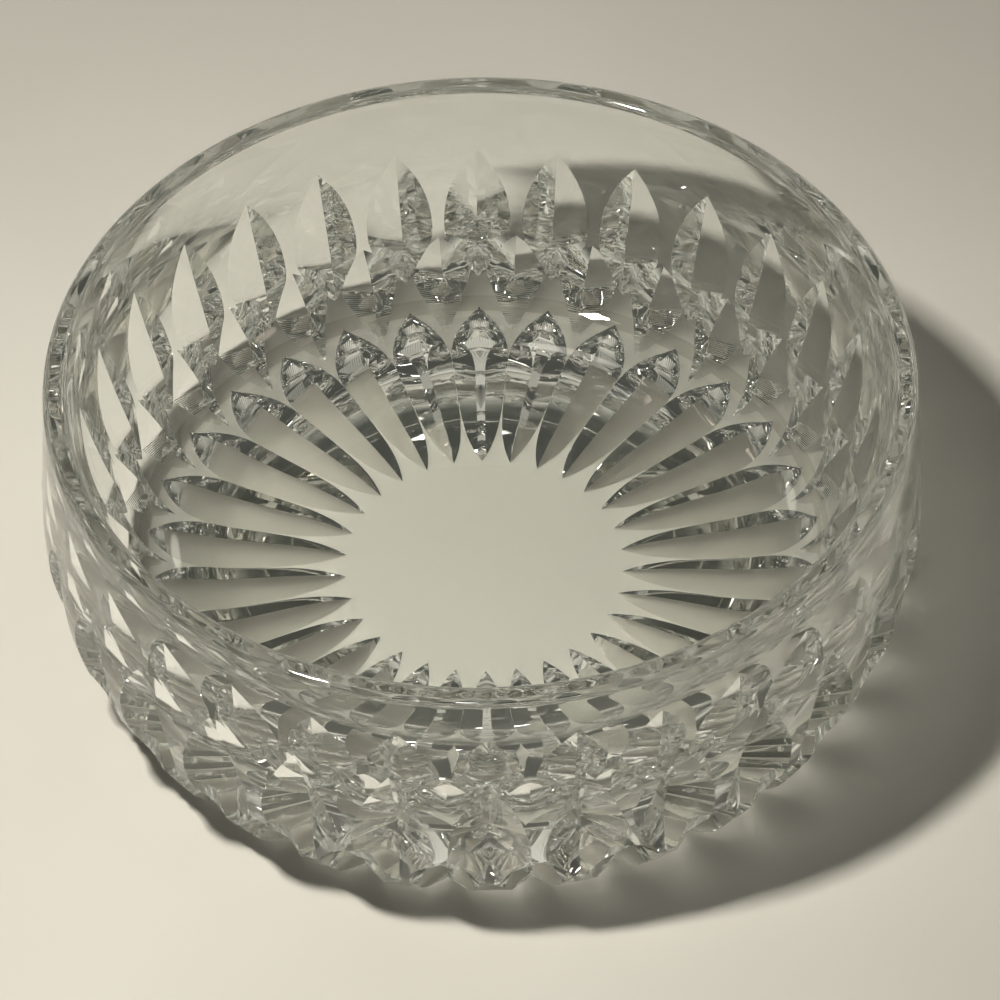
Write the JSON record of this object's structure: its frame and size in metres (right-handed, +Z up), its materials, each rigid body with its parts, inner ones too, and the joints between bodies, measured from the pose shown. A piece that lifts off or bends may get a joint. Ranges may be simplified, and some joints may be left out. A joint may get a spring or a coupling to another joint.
{
  "type": "crystal bowl",
  "caption": "Round open bowl of clear cut crystal with a plain rim band, pointed V cuts round the barrel wall and a star of rays cut under the base, for fruit or salad.",
  "frame": {"origin": "centre of the flat resting face under the bowl", "axes": "+Z up along the bowl's axis of symmetry; a leaf cut and a ray are centred on -Y"},
  "size_m": [0.22, 0.2194, 0.082],
  "materials": {
    "crystal": "polished clear crystal with a faint grey-green tint"
  },
  "bodies": {
    "root": {"star_base": "crystal", "cut_wall": "crystal", "rim_band": "crystal"}
  },
  "joints": []
}
